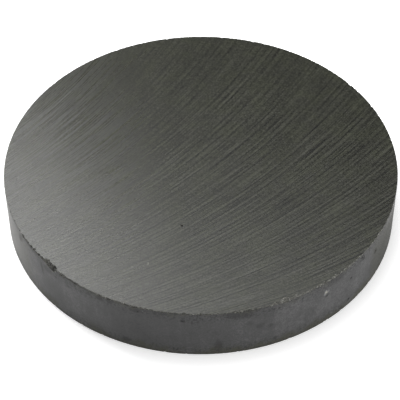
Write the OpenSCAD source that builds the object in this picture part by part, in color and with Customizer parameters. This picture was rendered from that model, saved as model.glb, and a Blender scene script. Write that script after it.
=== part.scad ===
// Ferrite disc magnet: one solid disc of hard ferrite, magnetised through its thickness.
//
// Powder is pressed into a round blank and fired, and both pole faces are then ground flat, so
// the rim keeps its fired skin and meets the faces at a sharp edge. The ceramic is brittle, and
// that edge is chipped. A chip in ferrite is a shallow shell-shaped scar. Here each one is the
// bite of a sphere, sized by what a gauge reads on the scar: its length along the rim, its reach
// across the pole face and its drop down the rim.
//
// Millimetres. The origin is the centre of the lower pole face, and +Z runs through the
// thickness. Angles run round the rim from the front, -Y, towards +X.

/* [Disc] */
// Diameter over the fired rim
disc_d = 100; // [60:1:140]
// Thickness from pole face to pole face
disc_h = 15; // [8:0.5:25]
// Width of the worn bevel where the rim meets each pole face
edge_break = 0.1; // [0.05:0.01:0.15]

/* [Knocked corner] */
// Where the largest scar lies, in degrees round the rim
knock_at = -46.8; // [-180:0.1:180]
// Its length along the rim
knock_length = 6; // [3:0.1:12]
// Its reach across the upper pole face
knock_reach = 1; // [0.7:0.1:2]
// Its drop down the rim
knock_drop = 1.5; // [0.8:0.1:3]

/* [Crumbled edge] */
// Length of the largest flake where the edge has crumbled
flake_length = 1.2; // [0.6:0.1:2.4]
// Reach of that flake across the pole face
flake_reach = 0.35; // [0.3:0.05:0.8]
// Drop of that flake down the rim
flake_drop = 0.4; // [0.3:0.05:0.8]
// Spacing of the flakes along a crumbled stretch
flake_spacing = 1.1; // [0.8:0.1:3]
// Spacing of the stray flakes round the whole of both edges
stray_spacing = 11; // [6:0.5:20]

/* [Pores] */
// Width of the largest pore
pore_d = 0.9; // [0.4:0.1:2]
// Depth of the largest pore
pore_depth = 0.2; // [0.1:0.05:0.4]

/* [Hidden] */

disc_r = disc_d / 2;
UPPER = 1;
LOWER = -1;
ROUND_FACETS = 240;
BITE_FACETS = 48;

// The knocked corner is four bites that overlap. Each row is a bite's shift along the scar, its
// length, its reach and its drop, as shares of the scar's own length, length, reach and drop.
KNOCK_BITES = [
    [-0.38, 0.22, 0.35, 0.30],
    [-0.14, 0.50, 1.00, 0.40],
    [ 0.02, 0.70, 0.75, 0.70],
    [ 0.24, 0.43, 0.85, 0.95],
];

// Single chips: where each lies in degrees, then its length, reach and drop.
UPPER_CHIPS = [
    [-60.3, 1.0, 0.30, 0.25], [-57.8, 0.8, 0.20, 0.30], [-53.7, 0.9, 0.40, 0.30],
    [-51.3, 1.2, 0.30, 0.40], [-41.2, 2.4, 0.25, 0.90], [-36.4, 1.4, 0.20, 0.50],
    [-28.4, 2.2, 0.20, 0.90], [-26.0, 1.6, 0.20, 0.75], [-21.2, 0.8, 0.30, 0.35],
    [-18.6, 2.0, 0.20, 0.60], [-10.6, 1.1, 0.20, 0.30], [ -4.7, 1.2, 0.30, 0.45],
    [ 20.6, 1.9, 0.80, 0.50], [ 22.0, 1.5, 0.60, 0.45], [ 23.3, 2.4, 1.10, 0.80],
    [ 24.8, 1.2, 0.35, 0.50], [ 26.4, 1.4, 0.60, 0.30], [ 32.0, 1.7, 0.40, 0.30],
    [ 35.9, 1.1, 0.45, 0.30], [ 39.9, 1.2, 0.50, 0.35], [ 44.8, 1.3, 0.35, 0.35],
    [115.0, 1.5, 0.30, 0.35], [126.4, 2.0, 0.40, 0.40], [159.0, 1.2, 0.25, 0.30],
];
LOWER_CHIPS = [
    [37.6, 1.1, 0.25, 0.30], [43.1, 1.2, 0.30, 0.30], [56.2, 1.2, 0.25, 0.30],
];

// Crumbled stretches of the upper edge: where each begins and ends, in degrees.
CRUMBLED = [[-60, -50], [8, 14.5], [19, 50]];

// Pores in the fired rim: the angle, the height as a share of the thickness, and the width as
// a share of the largest pore's.
RIM_PORES = [
    [-17.3, 0.90, 0.7], [-5.2, 0.83, 0.8], [36.4, 0.74, 1.0], [45.9, 0.15, 0.7],
    [ 46.3, 0.66, 0.7], [50.9, 0.92, 0.8], [58.6, 0.67, 1.0],
];
// Pores in the upper pole face: the angle, the distance out from the axis as a share of the
// radius, and the width as a share of the largest pore's.
FACE_PORES = [[-11.7, 0.45, 0.9], [-20.5, 0.73, 0.6]];

function arc_length(degrees) = disc_r * degrees * PI / 180;
function arc_degrees(length) = length / disc_r * 180 / PI;

// How far beyond a flat surface a sphere's centre stands, when the sphere's cut in that surface
// is to be `depth` deep over a chord of twice `half`.
function stand_off(half, depth) = (half * half - depth * depth) / (2 * depth);

// The disc as it leaves the grinder: a revolved section with a worn bevel at both edges.
module blank() {
    rotate_extrude($fn = ROUND_FACETS)
        polygon([
            [0, 0],
            [disc_r - edge_break, 0],
            [disc_r, edge_break],
            [disc_r, disc_h - edge_break],
            [disc_r - edge_break, disc_h],
            [0, disc_h],
        ]);
}

// The bite of one chip in the edge round a pole face. Its sphere meets the edge at both ends of
// the chip's length, the face at its reach and the rim at its drop.
module chip(at, length, reach, drop, side) {
    half = length / 2;
    beyond = stand_off(half, reach);
    above = stand_off(half, drop);
    face_z = side == UPPER ? disc_h : 0;
    rotate([0, 0, at])
        translate([0, -(disc_r + beyond), face_z + side * above])
            sphere(r = norm([half, beyond, above]), $fn = BITE_FACETS);
}

// The largest scar, where the corner took a knock.
module knocked_corner() {
    for (bite = KNOCK_BITES)
        chip(
            knock_at + arc_degrees(bite[0] * knock_length),
            bite[1] * knock_length,
            bite[2] * knock_reach,
            bite[3] * knock_drop,
            UPPER
        );
}

// Small flakes of uneven size and spacing, lost from a stretch of an edge.
module flakes(from, to, spacing, side, seed) {
    count = max(1, round(arc_length(to - from) / spacing));
    step = (to - from) / count;
    size = rands(0.65, 1, count, seed);
    slip = rands(-0.35, 0.35, count, seed + 1);
    lean = rands(0.8, 1, count, seed + 2);
    for (i = [0 : count - 1])
        chip(
            from + (i + 0.5 + slip[i]) * step,
            flake_length * size[i],
            flake_reach * size[i] * lean[i],
            flake_drop * size[i] * lean[count - 1 - i],
            side
        );
}

// A shallow round pore, opened by a sphere that stands off the surface at the origin, whose
// outward normal is -Y.
module pore(share) {
    half = share * pore_d / 2;
    depth = share * pore_depth;
    out = stand_off(half, depth);
    translate([0, -out, 0])
        sphere(r = norm([half, out]), $fn = BITE_FACETS);
}

module rim_pores() {
    for (spot = RIM_PORES)
        rotate([0, 0, spot[0]])
            translate([0, -disc_r, spot[1] * disc_h])
                pore(spot[2]);
}

module face_pores() {
    for (spot = FACE_PORES)
        rotate([0, 0, spot[0]])
            translate([0, -spot[1] * disc_r, disc_h])
                rotate([-90, 0, 0])
                    pore(spot[2]);
}

module ferrite_disc() {
    color("#4d4e4a")
        difference() {
            blank();
            knocked_corner();
            for (row = UPPER_CHIPS)
                chip(row[0], row[1], row[2], row[3], UPPER);
            for (row = LOWER_CHIPS)
                chip(row[0], row[1], row[2], row[3], LOWER);
            for (i = [0 : len(CRUMBLED) - 1])
                flakes(CRUMBLED[i][0], CRUMBLED[i][1], flake_spacing, UPPER, 10 * (i + 1));
            flakes(-180, 180, stray_spacing, UPPER, 71);
            flakes(-180, 180, stray_spacing, LOWER, 83);
            rim_pores();
            face_pores();
        }
}

ferrite_disc();
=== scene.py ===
# %% [markdown]
# # A chipped ferrite disc magnet
# A disc magnet like this one is a ceramic. Iron oxide and strontium carbonate powder is pressed
# in a round die, fired until it sinters, and then both pole faces are ground flat. That leaves
# three surfaces to show: the ground faces with the arcs of the wheel, the rim with its fired
# skin, and the broken ferrite in every chip.
#
# The imported model fixes the size and the main chips. This script adds the finish around it, so
# the first cell loads that model and keeps its box.

# %% Load the imported disc
import math

import bmesh
import bpy
from mathutils import Euler, Matrix, Vector


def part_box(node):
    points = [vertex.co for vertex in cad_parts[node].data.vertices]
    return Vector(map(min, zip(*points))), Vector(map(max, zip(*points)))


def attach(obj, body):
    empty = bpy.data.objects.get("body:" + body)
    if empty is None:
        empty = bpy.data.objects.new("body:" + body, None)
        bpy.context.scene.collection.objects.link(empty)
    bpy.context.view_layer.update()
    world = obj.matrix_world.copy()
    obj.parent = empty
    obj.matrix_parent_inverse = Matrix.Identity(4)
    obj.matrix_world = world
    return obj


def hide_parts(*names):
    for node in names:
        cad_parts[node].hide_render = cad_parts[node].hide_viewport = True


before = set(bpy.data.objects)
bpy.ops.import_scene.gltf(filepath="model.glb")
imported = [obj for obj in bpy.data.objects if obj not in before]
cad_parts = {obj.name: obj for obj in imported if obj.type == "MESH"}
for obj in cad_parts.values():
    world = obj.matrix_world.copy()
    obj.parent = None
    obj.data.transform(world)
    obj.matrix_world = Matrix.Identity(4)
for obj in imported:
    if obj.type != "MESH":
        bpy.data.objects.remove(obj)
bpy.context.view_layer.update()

low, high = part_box("ferrite_disc")
DISC_R = (high.x - low.x) / 2
DISC_H = high.z - low.z
MM = 0.001
scene = bpy.context.scene
print(f"disc {2 * DISC_R / MM:.1f} mm across, {DISC_H / MM:.1f} mm thick")

# %% [markdown]
# ## Looking down at the bench
# A small thing on a bench is seen from above, with a long lens that keeps its outline calm. The
# camera could be aimed by a constraint, but a place and three angles say the same thing plainly
# and stay put when the script is run again.

# %% The camera
CAMERA_PLACE = Vector((0.0, -266.7, 278.1)) * MM
CAMERA_DIP = math.radians(46.07)
CAMERA_TURN = math.radians(0.05)
CAMERA_ROLL = math.radians(-0.36)
LENS_MM = 132.3
SENSOR_MM = 36.0

camera_data = bpy.data.cameras.new("bench_camera")
camera_data.lens = LENS_MM
camera_data.sensor_width = SENSOR_MM
camera_data.clip_start = 0.01
camera_data.clip_end = 20.0
camera = bpy.data.objects.new("bench_camera", camera_data)
aim = Euler((math.pi / 2 - CAMERA_DIP, 0.0, CAMERA_TURN)).to_matrix()
aim = aim @ Matrix.Rotation(CAMERA_ROLL, 3, "Z")
camera.matrix_world = Matrix.Translation(CAMERA_PLACE) @ aim.to_4x4()
scene.collection.objects.link(camera)
scene.camera = camera
scene.view_settings.view_transform = "Standard"
print(f"camera {CAMERA_PLACE.length / MM:.0f} mm from the disc")

# %% [markdown]
# ## Helpers for every node tree
# Materials and geometry are both node trees here. One function adds a node with its settings
# and links, and one turns the hex colour of a paint chart into the linear values that a render
# works in. Every pattern on the disc is then measured in millimetres from the disc's own place,
# so its scale can be read against a ruler.


# %% Adding a node, and reading a colour
def put(tree, kind, settings=None, inputs=None):
    """Adds a node. A socket among the inputs is linked, and any other value is set."""
    node = tree.nodes.new(kind)
    for name, value in (settings or {}).items():
        setattr(node, name, value)
    for name, value in (inputs or {}).items():
        if isinstance(value, bpy.types.NodeSocket):
            tree.links.new(value, node.inputs[name])
        else:
            node.inputs[name].default_value = value
    return node


def linear(hex_colour):
    """An sRGB colour such as '#3e3f3b' as linear red, green, blue and alpha."""
    channels = [int(hex_colour[i : i + 2], 16) / 255 for i in (1, 3, 5)]
    return [
        c / 12.92 if c <= 0.04045 else ((c + 0.055) / 1.055) ** 2.4 for c in channels
    ] + [1.0]


print("mid grey #808080 is", round(linear("#808080")[0], 3), "of full light")


# %% Starting a material
def new_material(name, tone):
    """A material with one Principled surface. Returns it with its tree and that surface."""
    made = bpy.data.materials.new(name)
    made.use_nodes = True
    made.diffuse_color = linear(tone)
    made.node_tree.nodes.clear()
    surface = put(made.node_tree, "ShaderNodeBsdfPrincipled")
    put(made.node_tree, "ShaderNodeOutputMaterial", inputs={"Surface": surface.outputs[0]})
    return made, made.node_tree, surface


def place_in_mm(tree):
    """A point's place on the disc, in millimetres."""
    place = put(tree, "ShaderNodeTexCoord").outputs["Object"]
    return put(
        tree, "ShaderNodeVectorMath", {"operation": "SCALE"}, {0: place, "Scale": 1 / MM}
    ).outputs[0]


def blend(tree, parts):
    """Adds the parts of a height or tone, each measured from its middle and given its weight."""
    total = 0.0
    for part, weight in parts:
        total = put(
            tree,
            "ShaderNodeMath",
            {"operation": "MULTIPLY_ADD"},
            {0: part, 1: weight, 2: total},
        ).outputs[0]
    middle = sum(weight for _, weight in parts) / 2
    return put(tree, "ShaderNodeMath", {"operation": "SUBTRACT"}, {0: total, 1: middle}).outputs[0]


def tone_scale(tree, value, dark, middle, pale):
    """A colour from dark at -0.5 through the middle tone at 0 to pale at 0.5."""
    at = put(tree, "ShaderNodeMath", {"operation": "ADD"}, {0: value, 1: 0.5})
    scale = put(tree, "ShaderNodeValToRGB", inputs={"Fac": at.outputs[0]})
    stops = scale.color_ramp.elements
    stops[0].color, stops[1].color = linear(dark), linear(pale)
    stops.new(0.5).color = linear(middle)
    return scale.outputs["Color"]


# Nearly all of a noise lies between these two levels.
NOISE_LOW, NOISE_HIGH = 0.35, 0.65
print(f"a tone runs from -0.5 to 0.5, and most noise from {NOISE_LOW} to {NOISE_HIGH}")

# %% [markdown]
# ## The ground pole face
# A cup wheel much wider than the disc passes over it along one line. Each grain on the wheel's
# lip cuts a shallow arc, and every arc is the same circle moved along the feed. So one number
# names the arc that a point lies on: how far the wheel's centre had travelled when its lip
# crossed there. Noise stretched along that number gives grooves that follow the real cut, which
# a ring or wave texture would not.

# %% Where the wheel cut
WHEEL_R = 197.0
WHEEL_LINE_Y = 135.8


def wheel_travel(tree, in_mm):
    """The wheel's travel when its lip crossed a point, and the point's own x and y, all in mm."""
    split = put(tree, "ShaderNodeSeparateXYZ", inputs={0: in_mm})
    x, y = split.outputs["X"], split.outputs["Y"]
    off = put(tree, "ShaderNodeMath", {"operation": "SUBTRACT"}, {0: y, 1: WHEEL_LINE_Y})
    square = put(tree, "ShaderNodeMath", {"operation": "POWER"}, {0: off.outputs[0], 1: 2.0})
    rest = put(
        tree, "ShaderNodeMath", {"operation": "SUBTRACT"}, {0: WHEEL_R**2, 1: square.outputs[0]}
    )
    reach = put(tree, "ShaderNodeMath", {"operation": "SQRT"}, {0: rest.outputs[0]})
    travel = put(tree, "ShaderNodeMath", {"operation": "SUBTRACT"}, {0: x, 1: reach.outputs[0]})
    return travel.outputs[0], x, y


print(f"wheel lip: radius {WHEEL_R:.0f} mm, its line {WHEEL_LINE_Y:.0f} mm behind the centre")

# %% Grooves
FEED_PITCH_MM = 2.0
# How fast the feed's own swell drifts, for each mm across and along the arcs, and how far it
# drifts, in radians.
FEED_DRIFT_ACROSS, FEED_DRIFT_ALONG = 0.22, 0.012
FEED_WANDER = 9.0
# A power below 1 narrows the dark line that ends each turn. The swell then averages this level.
FEED_LINE_POWER = 0.35
FEED_MIDDLE = 0.71
# Each set of grooves: the pitch in mm, how far a groove wanders off its arc for each mm, and the
# set's seed. The wheel's grit is under 0.2 mm, which is too fine to show, so the finest set is
# drawn 0.26 mm apart.
FEED_STRENGTH = (1.9, 0.05, 37.0)
BROAD_GROOVES = (0.85, 0.016, 3.0)
FINE_GROOVES = (0.42, 0.04, 11.0)
HAIR_GROOVES = (0.26, 0.1, 23.0)


def wheel_marks(tree, travel, along, pitch_mm, wander, seed):
    """Uneven grooves a pitch apart. Each follows its arc and wanders off a little on its way."""
    across = put(tree, "ShaderNodeMath", {"operation": "DIVIDE"}, {0: travel, 1: pitch_mm})
    drift = put(tree, "ShaderNodeMath", {"operation": "MULTIPLY"}, {0: along, 1: wander})
    cut = put(
        tree,
        "ShaderNodeCombineXYZ",
        inputs={"X": across.outputs[0], "Y": drift.outputs[0], "Z": seed},
    )
    groove = put(
        tree,
        "ShaderNodeTexNoise",
        inputs={"Vector": cut.outputs[0], "Scale": 1.0, "Detail": 1.5, "Roughness": 0.5},
    )
    return put(
        tree,
        "ShaderNodeMapRange",
        {"clamp": False},
        {"Value": groove.outputs["Fac"], "From Min": NOISE_LOW, "From Max": NOISE_HIGH},
    ).outputs[0]


def feed_marks(tree, travel, along):
    """The even ripple that the feed leaves, one swell for each turn of the wheel."""
    slow_across = put(
        tree, "ShaderNodeMath", {"operation": "MULTIPLY"}, {0: travel, 1: FEED_DRIFT_ACROSS}
    )
    slow_along = put(
        tree, "ShaderNodeMath", {"operation": "MULTIPLY"}, {0: along, 1: FEED_DRIFT_ALONG}
    )
    slow = put(
        tree,
        "ShaderNodeCombineXYZ",
        inputs={"X": slow_across.outputs[0], "Y": slow_along.outputs[0]},
    )
    drift = put(
        tree,
        "ShaderNodeTexNoise",
        inputs={"Vector": slow.outputs[0], "Scale": 1.0, "Detail": 1.0},
    ).outputs["Fac"]
    wander = put(tree, "ShaderNodeMath", {"operation": "MULTIPLY"}, {0: drift, 1: FEED_WANDER})
    turns = put(
        tree,
        "ShaderNodeMath",
        {"operation": "MULTIPLY_ADD"},
        {0: travel, 1: math.tau / FEED_PITCH_MM, 2: wander.outputs[0]},
    )
    swell = put(tree, "ShaderNodeMath", {"operation": "SINE"}, {0: turns.outputs[0]})
    raised = put(
        tree,
        "ShaderNodeMath",
        {"operation": "MULTIPLY_ADD"},
        {0: swell.outputs[0], 1: 0.5, 2: 0.5},
    )
    # Each turn ends in a narrow dark line, and the ground between two lines is broad and even.
    line = put(
        tree, "ShaderNodeMath", {"operation": "POWER"}, {0: raised.outputs[0], 1: FEED_LINE_POWER}
    )
    # A line is plain for a few centimetres and then faint.
    strength = wheel_marks(tree, travel, along, *FEED_STRENGTH)
    shift = put(
        tree, "ShaderNodeMath", {"operation": "SUBTRACT"}, {0: line.outputs[0], 1: FEED_MIDDLE}
    )
    return put(
        tree,
        "ShaderNodeMath",
        {"operation": "MULTIPLY_ADD"},
        {0: shift.outputs[0], 1: strength, 2: 0.5},
    ).outputs[0]


print(f"feed marks {FEED_PITCH_MM} mm apart, the finest grooves {HAIR_GROOVES[0]} mm")

# %% How the wheel bit and wore
# Where the wheel came on and where it bit evenly, in mm from the middle of the disc.
WHEEL_CAME_ON, WHEEL_EVEN = -38.0, -8.0
# Where the wheel began to lift clear at the back, and where it was nearly clear.
WHEEL_LIFTS, WHEEL_CLEAR = 0.0, 32.0
# How hard it bit in its weakest and strongest patches, and at the front and back of the disc.
BITE_WEAK, BITE_STRONG = 0.75, 1.15
BITE_FRONT, BITE_BACK = 1.1, 0.45
GROUND_ROUGHNESS = 0.3
# A groove's level is below zero, so a negative share of it adds roughness.
GROOVE_SHARE = -0.42
# The deepest and the shallowest groove that the roughness follows.
DEEP, SHALLOW = -0.6, 0.5


def wheel_bite(tree, y, patch):
    """How hard the wheel bit: harder in some patches, and barely at the back."""
    patchy = put(
        tree,
        "ShaderNodeMapRange",
        inputs={
            "Value": patch,
            "From Min": NOISE_LOW,
            "From Max": NOISE_HIGH,
            "To Min": BITE_WEAK,
            "To Max": BITE_STRONG,
        },
    ).outputs[0]
    fading = put(
        tree,
        "ShaderNodeMapRange",
        inputs={
            "Value": y,
            "From Min": WHEEL_LIFTS,
            "From Max": WHEEL_CLEAR,
            "To Min": BITE_FRONT,
            "To Max": BITE_BACK,
        },
    ).outputs[0]
    return put(
        tree, "ShaderNodeMath", {"operation": "MULTIPLY"}, {0: patchy, 1: fading}
    ).outputs[0]


def groove_roughness(tree, arcs, x):
    """A groove is rougher than the ground between, most of all where the wheel came on fresh."""
    fresh = put(
        tree,
        "ShaderNodeMapRange",
        inputs={
            "Value": x,
            "From Min": WHEEL_CAME_ON,
            "From Max": WHEEL_EVEN,
            "To Min": GROOVE_SHARE,
            "To Max": 0.0,
        },
    )
    held = put(tree, "ShaderNodeMath", {"operation": "MAXIMUM"}, {0: arcs, 1: DEEP})
    held = put(tree, "ShaderNodeMath", {"operation": "MINIMUM"}, {0: held.outputs[0], 1: SHALLOW})
    return put(
        tree,
        "ShaderNodeMath",
        {"operation": "MULTIPLY_ADD"},
        {0: held.outputs[0], 1: fresh.outputs[0], 2: GROUND_ROUGHNESS},
    ).outputs[0]


print(f"the wheel bites evenly from x {WHEEL_EVEN:.0f} mm and lifts from y {WHEEL_LIFTS:.0f} mm")

# %% Ground ferrite
GROUND_TONE = "#32332a"
GROUND_DARK = "#090a05"
GROUND_PALE = "#4f5047"
COOLANT_TINT = "#f5f8eb"
# Ferrite bends light more than glass does, so a flat ground face has a strong gloss.
GROUND_IOR = 2.0
# The crystals of a magnet ferrite are a few thousandths of a millimetre wide, which is too fine
# to show, so their mottle is drawn 0.48 mm wide. Stains and patches are drawn at their own size.
CRYSTAL_MM = 0.48
STAIN_MM = 4.5
PATCH_MM = 16.0
# A stain's tint begins at the first of these levels of noise and is full at the second.
STAIN_BEGINS, STAIN_FULL = 0.42, 0.62
GROOVE_RELIEF_MM = 0.02


def ground_ferrite():
    """Sintered ferrite, surface ground: dark grey and satin, with the wheel's arcs in it."""
    made, tree, surface = new_material("ground_ferrite", GROUND_TONE)
    in_mm = place_in_mm(tree)
    travel, x, y = wheel_travel(tree, in_mm)
    feed = feed_marks(tree, travel, y)
    broad = wheel_marks(tree, travel, y, *BROAD_GROOVES)
    fine = wheel_marks(tree, travel, y, *FINE_GROOVES)
    hair = wheel_marks(tree, travel, y, *HAIR_GROOVES)
    crystal = put(
        tree,
        "ShaderNodeTexNoise",
        inputs={"Vector": in_mm, "Scale": 1 / CRYSTAL_MM, "Detail": 1.0},
    ).outputs["Fac"]
    patch = put(
        tree, "ShaderNodeTexNoise", inputs={"Vector": in_mm, "Scale": 1 / PATCH_MM, "Detail": 2.0}
    ).outputs["Fac"]
    bite = wheel_bite(tree, y, patch)
    arcs = blend(tree, [(feed, 0.9), (broad, 0.08), (fine, 0.3), (hair, 0.5)])
    arcs = put(tree, "ShaderNodeMath", {"operation": "MULTIPLY"}, {0: arcs, 1: bite}).outputs[0]
    stain = put(
        tree, "ShaderNodeTexNoise", inputs={"Vector": in_mm, "Scale": 1 / STAIN_MM, "Detail": 2.0}
    ).outputs["Fac"]
    mottle = blend(tree, [(crystal, 1.3), (patch, 0.12), (stain, 0.35)])
    tone = put(tree, "ShaderNodeMath", {"operation": "ADD"}, {0: arcs, 1: mottle}).outputs[0]
    grey = tone_scale(tree, tone, GROUND_DARK, GROUND_TONE, GROUND_PALE)
    # Coolant leaves the face a little greener in some patches than in others.
    green = put(
        tree,
        "ShaderNodeMapRange",
        inputs={"Value": stain, "From Min": STAIN_BEGINS, "From Max": STAIN_FULL},
    )
    colour = put(
        tree,
        "ShaderNodeMix",
        {"data_type": "RGBA", "blend_type": "MULTIPLY"},
        {"Factor": green.outputs[0], 6: grey, 7: linear(COOLANT_TINT)},
    )
    tree.links.new(colour.outputs[2], surface.inputs["Base Color"])
    tree.links.new(groove_roughness(tree, arcs, x), surface.inputs["Roughness"])
    bump = put(
        tree,
        "ShaderNodeBump",
        inputs={"Height": arcs, "Strength": 1.0, "Distance": GROOVE_RELIEF_MM * MM},
    )
    tree.links.new(bump.outputs[0], surface.inputs["Normal"])
    surface.inputs["IOR"].default_value = GROUND_IOR
    return made


GROUND = ground_ferrite()
print(f"{GROUND.name}: {len(GROUND.node_tree.nodes)} nodes")

# %% [markdown]
# ## The fired rim
# The rim is never ground. It keeps the skin that the kiln gave it: soft clouds where the powder
# packed unevenly, faint upright marks from the die, and a browner band along the foot, where the
# blank stood on its setter. That band is darker too, as painted contact shade where the disc meets
# the paper. Handling leaves darker smudges and a few pits. Other marks are painted light: painted
# shade in the pits and in two wide patches, and a painted reflection of the paper on the far left.
# The clouds and marks come from noise, but a smudge has one place, so each is a soft oval laid on
# the unrolled rim.


# %% Where a point lies on the unrolled rim
def unrolled_rim(tree, in_mm):
    """A point's way round the rim from the front, and its height, both in mm."""
    split = put(tree, "ShaderNodeSeparateXYZ", inputs={0: in_mm})
    front = put(
        tree, "ShaderNodeMath", {"operation": "MULTIPLY"}, {0: split.outputs["Y"], 1: -1.0}
    )
    turn = put(
        tree,
        "ShaderNodeMath",
        {"operation": "ARCTAN2"},
        {0: split.outputs["X"], 1: front.outputs[0]},
    )
    way = put(
        tree, "ShaderNodeMath", {"operation": "MULTIPLY"}, {0: turn.outputs[0], 1: DISC_R / MM}
    )
    return way.outputs[0], split.outputs["Z"]


print(f"the unrolled rim is {math.tau * DISC_R / MM:.0f} mm long")

# %% Smudges, painted shade and a painted reflection
# Each row: degrees round from the front, height, half width and half height in mm, lean in
# degrees, and strength. The dark rows are smudges and painted shade, the pale rows smudges and a
# painted reflection.
DARK_SMUDGES_AND_SHADE = [
    (-61.8, 12.8, 1.0, 2.0, -35, 0.8), (-54.8, 14.6, 3.4, 1.0, 0, 0.4),
    (-50.2, 11.5, 0.6, 3.2, 8, 0.4), (-47.6, 12.6, 2.6, 1.2, 0, 0.3),
    (-44.2, 12.2, 0.5, 0.6, 0, 0.4), (-45.0, 6.0, 5.0, 4.5, 0, 0.12),
    (-41.3, 14.3, 1.5, 0.8, 0, 0.55), (-39.4, 12.2, 0.6, 0.6, 0, 0.3),
    (-36.7, 13.8, 0.5, 0.5, 0, 0.5), (-32.2, 13.6, 0.9, 0.7, 0, 0.3),
    (-28.6, 13.7, 1.4, 0.7, 0, 0.5), (-25.8, 13.9, 0.7, 0.6, 0, 0.8),
    (-18.0, 13.7, 1.9, 1.0, 0, 0.5), (-21.0, 1.9, 1.5, 1.2, 0, 0.5),
    (-16.8, 0.9, 0.9, 0.8, 0, 0.4), (-10.5, 14.2, 1.5, 0.6, 0, 0.35),
    # The spot at -5 degrees is painted shade in a pit.
    (-5.1, 12.5, 0.7, 0.7, 0, 0.7), (-2.6, 12.0, 0.3, 0.8, 0, 0.3),
    (4.6, 2.8, 1.3, 3.2, 0, 0.3), (10.2, 13.9, 4.6, 1.8, -8, 0.4),
    (11.5, 14.9, 3.6, 0.5, 0, 0.6), (14.8, 14.3, 0.35, 0.45, 0, 0.5),
    (13.0, 10.2, 0.9, 0.9, 0, 0.16), (16.0, 8.4, 1.4, 1.1, 0, 0.2),
    (19.0, 7.6, 0.8, 0.8, 0, 0.18), (20.6, 2.4, 0.6, 0.9, 0, 0.3),
    (21.4, 13.2, 0.35, 0.4, 0, 0.6), (31.2, 0.5, 0.35, 0.35, 0, 0.7),
    (36.8, 9.7, 0.5, 0.5, 0, 0.5), (40.0, 13.8, 3.4, 1.5, 0, 0.3),
    (42.8, 1.4, 0.6, 0.5, 0, 0.5), (46.0, 2.2, 0.5, 0.5, 0, 0.5),
    # The next two lines hold painted shade in the pits at 46, 51 and 58 degrees, and a wide patch
    # of painted shade at 70 degrees.
    (46.2, 9.8, 0.45, 0.5, 0, 0.4), (51.1, 13.5, 0.7, 1.4, 40, 1.2),
    (58.5, 10.1, 0.9, 1.3, 40, 1.9), (70.0, 5.5, 14.0, 8.0, 0, 0.45),
    # The wide patch at -15 degrees is painted shade.
    (-15.0, 8.5, 12.0, 9.0, 0, 0.15), (-28.5, 14.9, 15.5, 0.6, 0, 0.4),
]
PALE_SMUDGES_AND_REFLECTION = [
    (36.2, 11.0, 0.5, 1.0, -12, 1.0), (37.3, 11.0, 0.3, 0.5, 0, 0.35),
    (-36.2, 14.0, 0.3, 0.4, 0, 0.3), (-15.8, 14.0, 0.4, 0.4, 0, 0.3),
    # The wide patch at -88 degrees is a painted reflection of the bright paper on the far left of
    # the rim.
    (-38.0, 8.5, 5.0, 5.5, 0, 0.1), (-88.0, 7.5, 30.0, 30.0, 0, 0.35),
    (72.0, 13.6, 8.0, 1.8, 0, 0.25),
]
# A smudge is at its full strength this near its middle, and gone this far out, as shares of its
# half width.
SMUDGE_FULL, SMUDGE_GONE = 0.3, 1.2


def smudges(tree, flat, rows):
    """The strongest of the smudges at a point of the unrolled rim."""
    strongest = 0.0
    for degrees, height, half_wide, half_high, lean, strength in rows:
        way = math.radians(degrees) * DISC_R / MM
        upright = flat
        if lean:
            upright = put(
                tree,
                "ShaderNodeVectorRotate",
                {"rotation_type": "Z_AXIS"},
                {"Vector": flat, "Center": (way, height, 0.0), "Angle": -math.radians(lean)},
            ).outputs[0]
        # One multiply and add moves and scales the place. A Mapping node would do the same, but
        # each one keeps more values waiting, and with this many of them the rim renders black.
        spot = put(
            tree,
            "ShaderNodeVectorMath",
            {"operation": "MULTIPLY_ADD"},
            {
                0: upright,
                1: (1 / half_wide, 1 / half_high, 0.0),
                2: (-way / half_wide, -height / half_high, 0.0),
            },
        )
        out = put(tree, "ShaderNodeVectorMath", {"operation": "LENGTH"}, {0: spot.outputs[0]})
        mark = put(
            tree,
            "ShaderNodeMapRange",
            {"interpolation_type": "SMOOTHSTEP"},
            {
                "Value": out.outputs["Value"],
                "From Min": SMUDGE_FULL,
                "From Max": SMUDGE_GONE,
                "To Min": strength,
                "To Max": 0.0,
            },
        )
        strongest = put(
            tree, "ShaderNodeMath", {"operation": "MAXIMUM"}, {0: strongest, 1: mark.outputs[0]}
        ).outputs[0]
    return strongest


print(f"{len(DARK_SMUDGES_AND_SHADE)} dark smudges and {len(PALE_SMUDGES_AND_REFLECTION)} pale ones")

# %% What the press and the kiln left in the skin
CLOUD_MM = 6.0
# A mark of the die is narrow and tall.
STREAK_WIDE_MM, STREAK_HIGH_MM = 1.1, 14.0
BLOTCH_MM = 1.6
# As on the ground face, the crystals are too fine to show and are drawn coarser.
SKIN_CRYSTAL_MM = 0.35
RAGGED_MM = 0.8


def press_marks(tree, in_mm):
    """Clouds of uneven packing, upright streaks of the die, crystals and blotches."""
    cloud = put(
        tree,
        "ShaderNodeTexNoise",
        inputs={"Vector": in_mm, "Scale": 1 / CLOUD_MM, "Detail": 3.0, "Roughness": 0.55},
    ).outputs["Fac"]
    upright = put(
        tree,
        "ShaderNodeMapping",
        inputs={
            "Vector": in_mm,
            "Scale": (1 / STREAK_WIDE_MM, 1 / STREAK_WIDE_MM, 1 / STREAK_HIGH_MM),
        },
    )
    streak = put(
        tree,
        "ShaderNodeTexNoise",
        inputs={"Vector": upright.outputs[0], "Scale": 1.0, "Detail": 3.0},
    ).outputs["Fac"]
    crystal = put(
        tree,
        "ShaderNodeTexNoise",
        inputs={"Vector": in_mm, "Scale": 1 / SKIN_CRYSTAL_MM, "Detail": 1.0},
    ).outputs["Fac"]
    blotch = put(
        tree,
        "ShaderNodeTexNoise",
        inputs={"Vector": in_mm, "Scale": 1 / BLOTCH_MM, "Detail": 3.0, "Roughness": 0.6},
    )
    return cloud, streak, crystal, blotch.outputs["Fac"], blotch.outputs["Color"]


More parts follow.
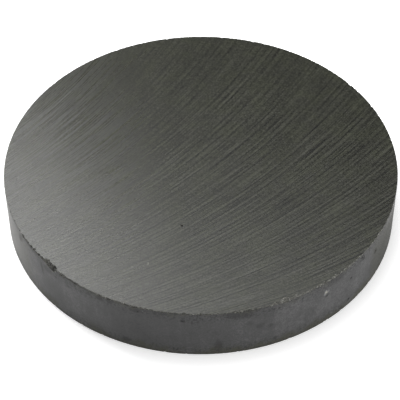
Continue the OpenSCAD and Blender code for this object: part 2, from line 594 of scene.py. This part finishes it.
def ragged_place(tree, way, height, shifts):
    """The unrolled place, shifted a little, so that a smudge read there has a ragged outline."""
    ragged = put(
        tree,
        "ShaderNodeVectorMath",
        {"operation": "MULTIPLY_ADD"},
        {
            0: shifts,
            1: (RAGGED_MM, RAGGED_MM, 0.0),
            2: (-RAGGED_MM / 2, -RAGGED_MM / 2, 0.0),
        },
    )
    unrolled = put(tree, "ShaderNodeCombineXYZ", inputs={"X": way, "Y": height})
    return put(
        tree,
        "ShaderNodeVectorMath",
        {"operation": "ADD"},
        {0: unrolled.outputs[0], 1: ragged.outputs[0]},
    ).outputs[0]


print(f"clouds {CLOUD_MM} mm wide, streaks {STREAK_HIGH_MM} mm high, blotches {BLOTCH_MM} mm")

# %% Specks, and the line of a neighbour
SPECK_MM = 0.6
# Specks are thin this near the middle of the rim and thick at its foot and crest, in mm.
SPECKS_THIN, SPECKS_THICK = 4.0, 7.5
# How dark they are where thin and where thick. One begins at the first of the levels of noise
# below and is full at the second.
SPECK_FAINT, SPECK_DARK = 0.1, 0.9
SPECK_BEGINS, SPECK_FULL = 0.47, 0.67
# The line that the neighbour left, how far its border fades, and how much paler it is beyond.
LAP_DEGREES = 20.3
LAP_FADE_MM = 0.5
LAP_PALER = 0.06


def setter_specks(tree, in_mm, height):
    """Dark specks of setter dust that are fused into the skin."""
    speck = put(
        tree,
        "ShaderNodeTexNoise",
        inputs={"Vector": in_mm, "Scale": 1 / SPECK_MM, "Detail": 2.0, "Roughness": 0.7},
    ).outputs["Fac"]
    above = put(
        tree, "ShaderNodeMath", {"operation": "SUBTRACT"}, {0: height, 1: DISC_H / MM / 2}
    ).outputs[0]
    from_middle = put(tree, "ShaderNodeMath", {"operation": "ABSOLUTE"}, {0: above}).outputs[0]
    thick = put(
        tree,
        "ShaderNodeMapRange",
        inputs={
            "Value": from_middle,
            "From Min": SPECKS_THIN,
            "From Max": SPECKS_THICK,
            "To Min": SPECK_FAINT,
            "To Max": SPECK_DARK,
        },
    ).outputs[0]
    return put(
        tree,
        "ShaderNodeMapRange",
        inputs={
            "Value": speck,
            "From Min": SPECK_BEGINS,
            "From Max": SPECK_FULL,
            "To Max": thick,
        },
    ).outputs[0]


def lap_line(tree, way):
    """The skin is a shade paler beyond the line where it lay against its neighbour in the kiln."""
    lap_mm = math.radians(LAP_DEGREES) * DISC_R / MM
    return put(
        tree,
        "ShaderNodeMapRange",
        inputs={
            "Value": way,
            "From Min": lap_mm - LAP_FADE_MM,
            "From Max": lap_mm + LAP_FADE_MM,
            "To Max": LAP_PALER,
        },
    ).outputs[0]


print(f"the skin is paler from {math.radians(LAP_DEGREES) * DISC_R / MM:.1f} mm round the rim")

# %% Brown bands, and painted shade at the foot
# How far a band's border waves and ripples up and down, in mm.
BAND_WAVE_MM, BAND_RIPPLE_MM = 6.0, 5.0
# The brown of the foot, which is also painted contact shade, is full up to the first height and
# gone at the second, in mm.
FOOT_FULL_MM, FOOT_GONE_MM = 0.2, 2.9
CREST_BAND_MM = 1.4
# Away from the front it begins and is full at these distances round the rim, in mm.
SIDE_BEGINS_MM, SIDE_FULL_MM = 47.5, 51.5
FOOT_BROWN_AND_SHADE, CREST_BROWN, SIDE_BROWN = 0.85, 0.5, 0.5


def brown_bands_and_foot_shade(tree, way, height, cloud, blotch, specks):
    """How brown the skin is: in uneven bands at the foot and the crest, and on both sides.
    The band at the foot is also painted contact shade.
    """
    wave = put(
        tree,
        "ShaderNodeMath",
        {"operation": "MULTIPLY_ADD"},
        {0: cloud, 1: BAND_WAVE_MM, 2: -BAND_WAVE_MM / 2},
    )
    ripple = put(
        tree,
        "ShaderNodeMath",
        {"operation": "MULTIPLY_ADD"},
        {0: blotch, 1: BAND_RIPPLE_MM, 2: -BAND_RIPPLE_MM / 2},
    )
    uneven = put(tree, "ShaderNodeMath", {"operation": "ADD"}, {0: height, 1: wave.outputs[0]})
    uneven = put(
        tree, "ShaderNodeMath", {"operation": "ADD"}, {0: uneven.outputs[0], 1: ripple.outputs[0]}
    )
    foot = put(
        tree,
        "ShaderNodeMapRange",
        {"interpolation_type": "SMOOTHSTEP"},
        {
            "Value": uneven.outputs[0],
            "From Min": FOOT_FULL_MM,
            "From Max": FOOT_GONE_MM,
            "To Min": FOOT_BROWN_AND_SHADE,
            "To Max": 0.0,
        },
    )
    crest = put(
        tree,
        "ShaderNodeMapRange",
        {"interpolation_type": "SMOOTHSTEP"},
        {
            "Value": uneven.outputs[0],
            "From Min": DISC_H / MM - CREST_BAND_MM,
            "From Max": DISC_H / MM,
            "To Min": 0.0,
            "To Max": CREST_BROWN,
        },
    )
    turned = put(tree, "ShaderNodeMath", {"operation": "ABSOLUTE"}, {0: way})
    side = put(
        tree,
        "ShaderNodeMapRange",
        {"interpolation_type": "SMOOTHSTEP"},
        {
            "Value": turned.outputs[0],
            "From Min": SIDE_BEGINS_MM,
            "From Max": SIDE_FULL_MM,
            "To Max": SIDE_BROWN,
        },
    )
    band = put(
        tree, "ShaderNodeMath", {"operation": "MAXIMUM"}, {0: foot.outputs[0], 1: crest.outputs[0]}
    )
    band = put(
        tree, "ShaderNodeMath", {"operation": "MAXIMUM"}, {0: band.outputs[0], 1: side.outputs[0]}
    )
    return put(
        tree, "ShaderNodeMath", {"operation": "SUBTRACT"}, {0: band.outputs[0], 1: specks}
    ).outputs[0]


print(f"brown up to {FOOT_GONE_MM} mm from the foot and {CREST_BAND_MM} mm from the crest")

# %% Fired skin
RIM_TONE = "#383838"
RIM_DARK = "#161616"
RIM_PALE = "#6c6b6c"
# At the foot this brown is also painted contact shade.
RIM_BROWN = "#2c2c1d"
# Fired skin is smooth to the finger but finely pitted, so it is duller than ground ferrite.
SKIN_IOR = 1.45
# A dark tone of skin is the rougher one.
SKIN_ROUGH_DARK, SKIN_ROUGH_PALE = 0.65, 0.55
TONE_DARK, TONE_PALE = -0.4, 0.4
SKIN_RELIEF_MM = 0.05


def fired_skin():
    """Sintered ferrite as fired: grey and smooth, clouded by the press and browned at the foot."""
    made, tree, surface = new_material("fired_skin", RIM_TONE)
    in_mm = place_in_mm(tree)
    way, height = unrolled_rim(tree, in_mm)
    cloud, streak, crystal, blotch, shifts = press_marks(tree, in_mm)
    flat = ragged_place(tree, way, height, shifts)
    # dark holds the smudges and the painted shade, pale holds the pale smudges and the painted
    # reflection.
    dark, pale = smudges(tree, flat, DARK_SMUDGES_AND_SHADE), smudges(tree, flat, PALE_SMUDGES_AND_REFLECTION)
    even = blend(tree, [(cloud, 0.38), (streak, 0.18), (crystal, 0.32), (blotch, 0.2)])
    specks = setter_specks(tree, in_mm, height)
    lap = lap_line(tree, way)
    for part, operation in ((dark, "SUBTRACT"), (specks, "SUBTRACT"), (lap, "ADD")):
        even = put(tree, "ShaderNodeMath", {"operation": operation}, {0: even, 1: part}).outputs[0]
    tone = put(tree, "ShaderNodeMath", {"operation": "ADD"}, {0: even, 1: pale}).outputs[0]
    grey = tone_scale(tree, tone, RIM_DARK, RIM_TONE, RIM_PALE)
    # At the foot this brown is also painted contact shade.
    brown = brown_bands_and_foot_shade(tree, way, height, cloud, blotch, specks)
    colour = put(
        tree,
        "ShaderNodeMix",
        {"data_type": "RGBA"},
        {"Factor": brown, 6: grey, 7: linear(RIM_BROWN)},
    )
    tree.links.new(colour.outputs[2], surface.inputs["Base Color"])
    rough = put(
        tree,
        "ShaderNodeMapRange",
        inputs={
            "Value": tone,
            "From Min": TONE_DARK,
            "From Max": TONE_PALE,
            "To Min": SKIN_ROUGH_DARK,
            "To Max": SKIN_ROUGH_PALE,
        },
    )
    tree.links.new(rough.outputs[0], surface.inputs["Roughness"])
    bump = put(
        tree,
        "ShaderNodeBump",
        inputs={"Height": even, "Strength": 1.0, "Distance": SKIN_RELIEF_MM * MM},
    )
    tree.links.new(bump.outputs[0], surface.inputs["Normal"])
    surface.inputs["IOR"].default_value = SKIN_IOR
    return made


SKIN = fired_skin()
print(f"{SKIN.name}: {len(SKIN.node_tree.nodes)} nodes")

# %% [markdown]
# ## Broken ferrite
# A chip shows the inside of the ceramic. It breaks along shell-shaped scars with a sugary grain,
# matt where the rim is smooth. The scars are dark. Those to the right of the front, and three
# nicks in the upper edge, take a paler copy of the finish, a painted highlight where their facets
# catch the light. Two small flaws are packed with the dust of the break. One recipe does all
# three, so each finish is only that recipe with its own tones.

# %% Broken ferrite in three tones
# The sugary grain is really too fine to show, so it is drawn 0.25 mm wide. The small shells are
# drawn at their own size.
SUGAR_MM = 0.25
SHELL_MM = 0.9
BREAK_RELIEF_MM = 0.08
BREAK_ROUGHNESS = 0.7
BREAK_IOR = 1.5


def broken_ferrite(name, dark, tone, pale):
    """Broken ferrite: matt and grainy, with painted shade in its hollows and painted glints on its
    crests.
    """
    made, tree, surface = new_material(name, tone)
    in_mm = place_in_mm(tree)
    sugar = put(
        tree,
        "ShaderNodeTexNoise",
        inputs={"Vector": in_mm, "Scale": 1 / SUGAR_MM, "Detail": 2.0, "Roughness": 0.7},
    ).outputs["Fac"]
    shell = put(
        tree,
        "ShaderNodeTexNoise",
        inputs={"Vector": in_mm, "Scale": 1 / SHELL_MM, "Detail": 2.0},
    ).outputs["Fac"]
    uneven = blend(tree, [(sugar, 2.4), (shell, 0.8)])
    # The same relief sets the colour and the bump, so the dark hollows are painted shade and the
    # pale crests painted glints.
    colour = tone_scale(tree, uneven, dark, tone, pale)
    tree.links.new(colour, surface.inputs["Base Color"])
    bump = put(
        tree,
        "ShaderNodeBump",
        inputs={"Height": uneven, "Strength": 1.0, "Distance": BREAK_RELIEF_MM * MM},
    )
    tree.links.new(bump.outputs[0], surface.inputs["Normal"])
    surface.inputs["Roughness"].default_value = BREAK_ROUGHNESS
    surface.inputs["IOR"].default_value = BREAK_IOR
    return made


BROKEN = broken_ferrite("broken_ferrite", "#20201c", "#3b3b37", "#93928a")
# The glinting copy is a painted highlight, on the scars right of the front and on three nicks of
# the edge.
GLINTING_BROKEN = broken_ferrite("glinting_broken_ferrite", "#454541", "#666660", "#adaca6")
FILLED = broken_ferrite("packed_ferrite_dust", "#73726d", "#98978f", "#c2c1b8")
FINISHES = [GROUND, SKIN, BROKEN, GLINTING_BROKEN, FILLED]
print("finishes:", ", ".join(finish.name for finish in FINISHES))

# %% [markdown]
# ## A working copy of the disc
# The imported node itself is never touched. A copy of its mesh is merged into one closed skin,
# and each face gets its finish from where it lies: on a pole face, on the rim or in a chip. The
# finishes could be painted by hand, but a rule keeps them right if a chip moves.

# %% Which finish a face takes
IN_GROUND, IN_SKIN, IN_BROKEN, IN_GLINTING, IN_FILLED = range(len(FINISHES))
# A corner this near to a pole face or to the rim lies on it.
ON_SURFACE = 0.004 * MM
# Where a scar is drawn paler as a painted highlight, and where dust fills it: a stretch in
# degrees, of heights in mm and of radii in mm.
GLINT_STRETCHES = [
    # The first row is a painted highlight on the scars right of the front, the other three painted
    # glints on nicks of the upper edge.
    (17.0, 62.0, 13.8, 16.0, 45.0, 50.0),
    (-28.2, -26.4, 14.8, 16.0, 49.0, 50.1),
    (-12.5, -10.0, 14.85, 16.0, 49.0, 50.1),
    (-3.2, -2.0, 14.85, 16.0, 49.0, 50.1),
]
DUST_FILLS = [(34.5, 38.5, 10.0, 13.2, 45.0, 50.0), (-23.0, -18.0, 14.0, 16.0, 35.0, 38.0)]
# A pore in the rim is no deeper than this, and lies this far or more below the crest.
PORE_DEPTH_MM = 0.22
CREST_MM = 0.8


def lies_in(place, rows):
    """Whether a point lies in one of these stretches."""
    turn = math.degrees(math.atan2(place.x, -place.y))
    return any(
        start < turn < stop and foot < place.z / MM < top and near < place.xy.length / MM < far
        for start, stop, foot, top, near, far in rows
    )


def finish_of(face):
    """The material index of a face, told by where its corners lie."""
    heights = [v.co.z for v in face.verts]
    radii = [v.co.xy.length for v in face.verts]
    if max(heights) < low.z + ON_SURFACE or min(heights) > high.z - ON_SURFACE:
        return IN_GROUND
    if min(radii) > DISC_R - ON_SURFACE:
        return IN_SKIN
    middle = face.calc_center_median()
    if lies_in(middle, DUST_FILLS):
        return IN_FILLED
    if lies_in(middle, GLINT_STRETCHES):
        return IN_GLINTING
    # A pore in the rim was open when the disc was fired, so it is lined with skin.
    shallow = min(radii) > DISC_R - PORE_DEPTH_MM * MM
    return IN_SKIN if shallow and max(heights) < high.z - CREST_MM * MM else IN_BROKEN


# The first count is of the stretches drawn with a painted highlight.
print(f"dust lies in {len(GLINT_STRETCHES)} stretches and fills {len(DUST_FILLS)} flaws")

# %% Copy the disc
# Corners this near to each other, in metres, are one corner.
SAME_PLACE = 1e-7

disc_mesh = bpy.data.meshes.new("fired_disc")
build = bmesh.new()
build.from_mesh(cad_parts["ferrite_disc"].data)
bmesh.ops.remove_doubles(build, verts=build.verts, dist=SAME_PLACE)
for face in build.faces:
    face.material_index = finish_of(face)
open_edges = sum(1 for edge in build.edges if len(edge.link_faces) != 2)
build.to_mesh(disc_mesh)
build.free()
for finish in FINISHES:
    disc_mesh.materials.append(finish)
disc = bpy.data.objects.new("fired_disc", disc_mesh)
scene.collection.objects.link(disc)
print(f"copy: {len(disc_mesh.polygons)} faces, {open_edges} open edges")

# %% [markdown]
# ## Roughened scars
# A chip in ferrite is not a clean bowl. The crack stops and starts again, and leaves small shells
# inside the large one. They could be drawn with a bump, but then the outline of the chip would
# stay smooth. Here small lumpy pebbles are scattered over the scars and cut out of them, as
# Geometry Nodes do for anything that repeats over a surface.

# %% The pebble that every flake is cut with
# How many lumps there are to a radius, the levels of noise in a hollow and on a lump, and how
# far a hollow lies from the middle, as a share of the radius.
LUMPS = 1.6
LUMP_LOW, LUMP_HIGH = 0.3, 0.7
HOLLOW = 0.72


def new_tree(name, sizes):
    """A geometry tree that takes a mesh and these named sizes. Returns it with its inputs."""
    tree = bpy.data.node_groups.new(name, "GeometryNodeTree")
    for way in ("INPUT", "OUTPUT"):
        tree.interface.new_socket("Geometry", in_out=way, socket_type="NodeSocketGeometry")
    for size, kind in sizes.items():
        tree.interface.new_socket(size, in_out="INPUT", socket_type=f"NodeSocket{kind}")
    return tree, put(tree, "NodeGroupInput").outputs


def pebble(tree, finish):
    """A lumpy ball of a unit radius and 80 faces, in the finish that its cut will show."""
    ball = put(tree, "GeometryNodeMeshIcoSphere", inputs={"Radius": 1.0, "Subdivisions": 2})
    place = put(tree, "GeometryNodeInputPosition").outputs[0]
    lumps = put(
        tree, "ShaderNodeTexNoise", inputs={"Vector": place, "Scale": LUMPS, "Detail": 0.0}
    )
    reach = put(
        tree,
        "ShaderNodeMapRange",
        inputs={
            "Value": lumps.outputs["Fac"],
            "From Min": LUMP_LOW,
            "From Max": LUMP_HIGH,
            "To Min": HOLLOW,
        },
    )
    lumpy = put(
        tree, "ShaderNodeVectorMath", {"operation": "SCALE"}, {0: place, "Scale": reach.outputs[0]}
    )
    shaped = put(
        tree,
        "GeometryNodeSetPosition",
        inputs={"Geometry": ball.outputs["Mesh"], "Position": lumpy.outputs[0]},
    )
    return put(
        tree,
        "GeometryNodeSetMaterial",
        inputs={"Geometry": shaped.outputs[0], "Material": finish},
    ).outputs[0]


def cut_pebbles(tree, given, points, size, seed):
    """Cuts a turned pebble out of the mesh at each point, and ends the tree."""
    turn = put(
        tree,
        "FunctionNodeRandomValue",
        {"data_type": "FLOAT_VECTOR"},
        {1: (math.tau, math.tau, math.tau), "Seed": seed},
    )
    pebbles = put(
        tree,
        "GeometryNodeInstanceOnPoints",
        inputs={
            "Points": points,
            "Instance": pebble(tree, given["Finish"]),
            "Rotation": turn.outputs[0],
            "Scale": size,
        },
    )
    cut = put(
        tree,
        "GeometryNodeMeshBoolean",
        {"operation": "DIFFERENCE", "solver": "MANIFOLD"},
        {"Mesh 1": given["Geometry"], "Mesh 2": pebbles.outputs[0]},
    )
    plain = put(tree, "GeometryNodeRealizeInstances", inputs={"Geometry": cut.outputs["Mesh"]})
    bare = put(tree, "GeometryNodeMaterialSelection", inputs={"Material": given["Finish"]})
    finished = put(
        tree,
        "GeometryNodeSetMaterial",
        inputs={
            "Geometry": plain.outputs[0],
            "Selection": bare.outputs[0],
            "Material": given["Finish"],
        },
    )
    put(tree, "NodeGroupOutput", inputs={"Geometry": finished.outputs[0]})


print("a pebble has 80 faces, and each lump on it leaves one small shell")

# %% The tree that splinters the scars
def splinter_scars():
    """Small shells inside every scar."""
    sizes = {"Per Area": "Float", "Smallest": "Float", "Largest": "Float", "Stand Off": "Float"}
    tree, given = new_tree("splinter_scars", {**sizes, "Seed": "Int", "Finish": "Material"})
    bare = put(tree, "GeometryNodeMaterialSelection", inputs={"Material": given["Finish"]})
    spots = put(
        tree,
        "GeometryNodeDistributePointsOnFaces",
        inputs={
            "Mesh": given["Geometry"],
            "Selection": bare.outputs[0],
            "Density": given["Per Area"],
            "Seed": given["Seed"],
        },
    )
    size = put(
        tree,
        "FunctionNodeRandomValue",
        {"data_type": "FLOAT"},
        {2: given["Smallest"], 3: given["Largest"], "Seed": given["Seed"]},
    ).outputs[1]
    clear = put(
        tree, "ShaderNodeMath", {"operation": "MULTIPLY"}, {0: size, 1: given["Stand Off"]}
    )
    out = put(
        tree,
        "ShaderNodeVectorMath",
        {"operation": "SCALE"},
        {0: spots.outputs["Normal"], "Scale": clear.outputs[0]},
    )
    raised = put(
        tree,
        "GeometryNodeSetPosition",
        inputs={"Geometry": spots.outputs["Points"], "Offset": out.outputs[0]},
    )
    cut_pebbles(tree, given, raised.outputs[0], size, given["Seed"])
    return tree


SPLINTER = splinter_scars()
print(f"{SPLINTER.name}: {len(SPLINTER.nodes)} nodes")


# %% Splinter the scars
def run_tree(piece, tree, sizes):
    """Puts a tree on a piece as a modifier, with its sizes set by their sockets' identifiers."""
    modifier = piece.modifiers.new(tree.name, "NODES")
    modifier.node_group = tree
    for socket in tree.interface.items_tree:
        if socket.in_out == "INPUT" and socket.name in sizes:
            modifier[socket.identifier] = sizes[socket.name]


def keep_result(piece):
    """Turns what the modifiers make into the piece's own plain mesh, and drops them."""
    seen = piece.evaluated_get(bpy.context.evaluated_depsgraph_get())
    mesh = bpy.data.meshes.new_from_object(seen)
    mesh.name = piece.name
    piece.modifiers.clear()
    piece.data = mesh
    return mesh


# Five pebbles to the square millimetre. Each stands off by about half its radius, so it cuts a
# shallow shell and not a pit.
SHELL_SIZES = {
    "Per Area": 5.0 / MM**2,
    "Smallest": 0.2 * MM,
    "Largest": 0.5 * MM,
    "Stand Off": 0.55,
}
# The second finish is the paler copy with its painted highlight.
for finish, seed in ((BROKEN, 5), (GLINTING_BROKEN, 9)):
    run_tree(disc, SPLINTER, {**SHELL_SIZES, "Seed": seed, "Finish": finish})
print("scars:", len(keep_result(disc).polygons), "faces")

# %% [markdown]
# ## Crumbs along the edge
# Between the chips the edge of a fired disc is never quite sharp: grinding pulls grains out of it
# all the way round, and handling takes more where it has been knocked. The same tree does each
# stretch of edge, so it takes the stretch and the size of its flakes as inputs.

# %% The tree that crumbles an edge
# A pebble stands off the corner by between these shares of its size.
STAND_LEAST, STAND_MOST = 0.05, 0.5


def crumble_edge():
    """Flakes along an edge of the disc, from one angle to another."""
    sizes = {"Edge Radius": "Float", "Edge Height": "Float", "Up": "Float", "From": "Float"}
    sizes |= {"To": "Float", "Count": "Int", "Smallest": "Float", "Largest": "Float"}
    tree, given = new_tree("crumble_edge", {**sizes, "Seed": "Int", "Finish": "Material"})
    seeds = [
        put(tree, "ShaderNodeMath", {"operation": "ADD"}, {0: given["Seed"], 1: step}).outputs[0]
        for step in range(4)
    ]
    size = put(
        tree,
        "FunctionNodeRandomValue",
        {"data_type": "FLOAT"},
        {2: given["Smallest"], 3: given["Largest"], "Seed": seeds[0]},
    ).outputs[1]
    turn = put(
        tree,
        "FunctionNodeRandomValue",
        {"data_type": "FLOAT"},
        {2: given["From"], 3: given["To"], "Seed": seeds[1]},
    ).outputs[1]
    # Each pebble stands a little out from the corner and up from it, by shares of its size.
    stands = []
    for seed in seeds[2:]:
        share = put(
            tree,
            "FunctionNodeRandomValue",
            {"data_type": "FLOAT"},
            {2: STAND_LEAST, 3: STAND_MOST, "Seed": seed},
        ).outputs[1]
        stands.append(
            put(tree, "ShaderNodeMath", {"operation": "MULTIPLY"}, {0: size, 1: share}).outputs[0]
        )
    out, up = stands
    away = put(tree, "ShaderNodeMath", {"operation": "ADD"}, {0: given["Edge Radius"], 1: out})
    height = put(
        tree,
        "ShaderNodeMath",
        {"operation": "MULTIPLY_ADD"},
        {0: up, 1: given["Up"], 2: given["Edge Height"]},
    )
    back = put(tree, "ShaderNodeMath", {"operation": "MULTIPLY"}, {0: away.outputs[0], 1: -1.0})
    across = []
    for kind, length in (("SINE", away.outputs[0]), ("COSINE", back.outputs[0])):
        wave = put(tree, "ShaderNodeMath", {"operation": kind}, {0: turn}).outputs[0]
        across.append(
            put(tree, "ShaderNodeMath", {"operation": "MULTIPLY"}, {0: wave, 1: length}).outputs[0]
        )
    x, y = across
    corner = put(tree, "ShaderNodeCombineXYZ", inputs={"X": x, "Y": y, "Z": height.outputs[0]})
    points = put(
        tree,
        "GeometryNodePoints",
        inputs={"Count": given["Count"], "Position": corner.outputs[0]},
    )
    cut_pebbles(tree, given, points.outputs[0], size, seeds[0])
    return tree


CRUMBLE = crumble_edge()
print(f"{CRUMBLE.name}: {len(CRUMBLE.nodes)} nodes")

# %% Crumble both edges
# Each row: the stretch in degrees round from the front, the flakes for each mm, the smallest and
# the largest radius of a flake in mm, and the finish that it shows.
UPPER_STRETCHES = [
    (-180, 180, 1.0, 0.14, 0.26, BROKEN),
    (-61, -50, 2.6, 0.28, 0.62, BROKEN),
    (-53, -43, 2.0, 0.35, 0.75, BROKEN),
    (-44, -4, 1.2, 0.18, 0.38, BROKEN),
    (8, 14.5, 2.2, 0.20, 0.45, BROKEN),
    # The crumbs right of the front take the paler copy, with its painted highlight.
    (19, 26, 2.0, 0.16, 0.4, GLINTING_BROKEN),
    (26, 46, 0.9, 0.14, 0.3, GLINTING_BROKEN),
]
LOWER_STRETCHES = [(-180, 180, 1.0, 0.14, 0.28, BROKEN)]
# A stretch draws from four seeds in a row, so the next stretch starts ten on.
FIRST_SEED, SEED_STEP = 17, 10

edges = [(high.z, 1.0, UPPER_STRETCHES), (low.z, -1.0, LOWER_STRETCHES)]
for height, up, stretches in edges:
    for start, stop, per_mm, smallest, largest, finish in stretches:
        length_mm = math.radians(stop - start) * DISC_R / MM
        run_tree(
            disc,
            CRUMBLE,
            {
                "Edge Radius": DISC_R,
                "Edge Height": height,
                "Up": up,
                "From": math.radians(start),
                "To": math.radians(stop),
                "Count": round(length_mm * per_mm),
                "Smallest": smallest * MM,
                "Largest": largest * MM,
                "Seed": FIRST_SEED + SEED_STEP * len(disc.modifiers),
                "Finish": finish,
            },
        )
disc_mesh = keep_result(disc)
print("edges:", len(disc_mesh.polygons), "faces,", [m.name for m in disc_mesh.materials])

# %% [markdown]
# ## The disc in the frame
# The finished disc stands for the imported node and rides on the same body. Shading is set first:
# a ground face is flat, while skin and scars are smooth inside and crisp where two finishes meet.
# Weighted normals would do as much, but marked edges stay in the mesh and can be checked.

# %% Place the disc in the frame
# Two faces that fold by more than this keep a crisp edge between them.
FOLD = math.radians(25)


def shade(mesh):
    """Smooth shading inside each finish, with a crisp edge where two finishes meet."""
    ground = list(mesh.materials).index(GROUND)
    work = bmesh.new()
    work.from_mesh(mesh)
    for face in work.faces:
        face.smooth = face.material_index != ground
    for edge in work.edges:
        finishes = {face.material_index for face in edge.link_faces}
        folded = len(edge.link_faces) == 2 and edge.calc_face_angle() > FOLD
        edge.smooth = len(finishes) == 1 and not folded
    open_edges = sum(1 for edge in work.edges if len(edge.link_faces) != 2)
    volume = work.calc_volume()
    work.to_mesh(mesh)
    work.free()
    return open_edges, volume


open_edges, volume = shade(disc_mesh)
print(f"finished disc: {open_edges} open edges, {volume / MM**3:.0f} mm3")
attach(disc, "root")
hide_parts("ferrite_disc")

# %% [markdown]
# ## Bench and light
# The disc lies on plain white paper, in the soft light of a room. The paper could be lit until it
# turns white, but then the disc would be too pale. So the paper and the room only look white to
# the eye and in a mirror, and the lamps stay at a level that suits the disc.

# %% Floor
PAPER = "#f4f4f4"
FLOOR_SIZE = 6.0
# How much of white is added to the paper, and how near to the disc it begins to be held back,
# which paints a contact shadow round the disc.
PAPER_LIFT = 0.88
CONTACT_MM = 8.0


def bench_paper():
    """Matt white paper that reads as white and still takes the disc's shadow. Its added white
    fades near the disc, which paints a contact shadow.
    """
    made = bpy.data.materials.new("bench_paper")
    made.use_nodes = True
    tree = made.node_tree
    tree.nodes.clear()
    paper = put(tree, "ShaderNodeBsdfDiffuse", inputs={"Color": linear(PAPER)})
    rays = put(tree, "ShaderNodeLightPath").outputs
    seen = rays["Is Camera Ray"]
    for kind in ("Is Glossy Ray", "Is Transmission Ray"):
        seen = put(
            tree, "ShaderNodeMath", {"operation": "MAXIMUM"}, {0: seen, 1: rays[kind]}
        ).outputs[0]
    # The occlusion paints a contact shadow into the added white.
    open_sky = put(tree, "ShaderNodeAmbientOcclusion", inputs={"Distance": CONTACT_MM * MM})
    near = put(
        tree, "ShaderNodeMath", {"operation": "MULTIPLY"}, {0: seen, 1: open_sky.outputs["AO"]}
    )
    lift = put(
        tree, "ShaderNodeMath", {"operation": "MULTIPLY"}, {0: near.outputs[0], 1: PAPER_LIFT}
    )
    glow_with_painted_shadow = put(tree, "ShaderNodeEmission", inputs={"Strength": lift.outputs[0]})
    both = put(tree, "ShaderNodeAddShader", inputs={0: paper.outputs[0], 1: glow_with_painted_shadow.outputs[0]})
    put(tree, "ShaderNodeOutputMaterial", inputs={"Surface": both.outputs[0]})
    return made


floor_mesh = bpy.data.meshes.new("bench")
half = FLOOR_SIZE / 2
corners = [(x * half, y * half, 0) for x, y in ((-1, -1), (1, -1), (1, 1), (-1, 1))]
floor_mesh.from_pydata(corners, [], [(0, 1, 2, 3)])
floor_mesh.materials.append(bench_paper())
floor = bpy.data.objects.new("bench", floor_mesh)
scene.collection.objects.link(floor)
print(f"bench {FLOOR_SIZE:.0f} m wide")

# %% The room
# The room is white to the eye. In a mirror it is white only low down, where the paper sweeps up
# behind the disc: it fades between these two heights, as shares of the way to straight up.
SWEEP_FADES, SWEEP_GONE = 0.1, 0.35

world = bpy.data.worlds.new("room")
world.use_nodes = True
scene.world = world
room = world.node_tree
rays = put(room, "ShaderNodeLightPath").outputs
gaze = put(room, "ShaderNodeTexCoord").outputs["Generated"]
rise = put(room, "ShaderNodeSeparateXYZ", inputs={0: gaze}).outputs["Z"]
sweep = put(
    room,
    "ShaderNodeMapRange",
    inputs={
        "Value": rise,
        "From Min": SWEEP_FADES,
        "From Max": SWEEP_GONE,
        "To Min": 1.0,
        "To Max": 0.0,
    },
).outputs[0]
mirrored = put(
    room,
    "ShaderNodeMath",
    {"operation": "MAXIMUM"},
    {0: rays["Is Glossy Ray"], 1: rays["Is Transmission Ray"]},
).outputs[0]
mirrored = put(
    room, "ShaderNodeMath", {"operation": "MULTIPLY"}, {0: mirrored, 1: sweep}
).outputs[0]
white = put(
    room, "ShaderNodeMath", {"operation": "MAXIMUM"}, {0: rays["Is Camera Ray"], 1: mirrored}
).outputs[0]
backdrop = room.nodes["Background"]
backdrop.inputs["Color"].default_value = (1, 1, 1, 1)
room.links.new(white, backdrop.inputs["Strength"])
print(f"{world.name}: {len(room.nodes)} nodes")

# %% Lamps
# Each row: the lamp's name, its place in mm, its width in mm and its power in watts. A ground
# face seen from low down mirrors the window behind it. The right window is wide and so not
# bright, and in the face it shows as pale grey.
LAMPS = [
    ("back_window", (-478, 478, 181), 350, 9.15),
    ("right_window", (390, -552, 181), 1000, 7.2),
    ("bench_lamp", (-200, 240, 400), 120, 0.38),
    ("ceiling", (0, 239, 658), 350, 0.64),
    ("near_lamp", (-90, 120, 200), 120, 0.065),
]


def soft_light(name, place_mm, size_mm, watts):
    """A square lamp that faces the disc."""
    data = bpy.data.lights.new(name, "AREA")
    data.size = size_mm * MM
    data.energy = watts
    lamp = bpy.data.objects.new(name, data)
    lamp.location = Vector(place_mm) * MM
    to_disc = Vector((0.0, 0.0, 0.0)) - lamp.location
    lamp.rotation_euler = to_disc.to_track_quat("-Z", "Y").to_euler()
    scene.collection.objects.link(lamp)


for row in LAMPS:
    soft_light(*row)
print("lamps:", ", ".join(name for name, *_ in LAMPS))
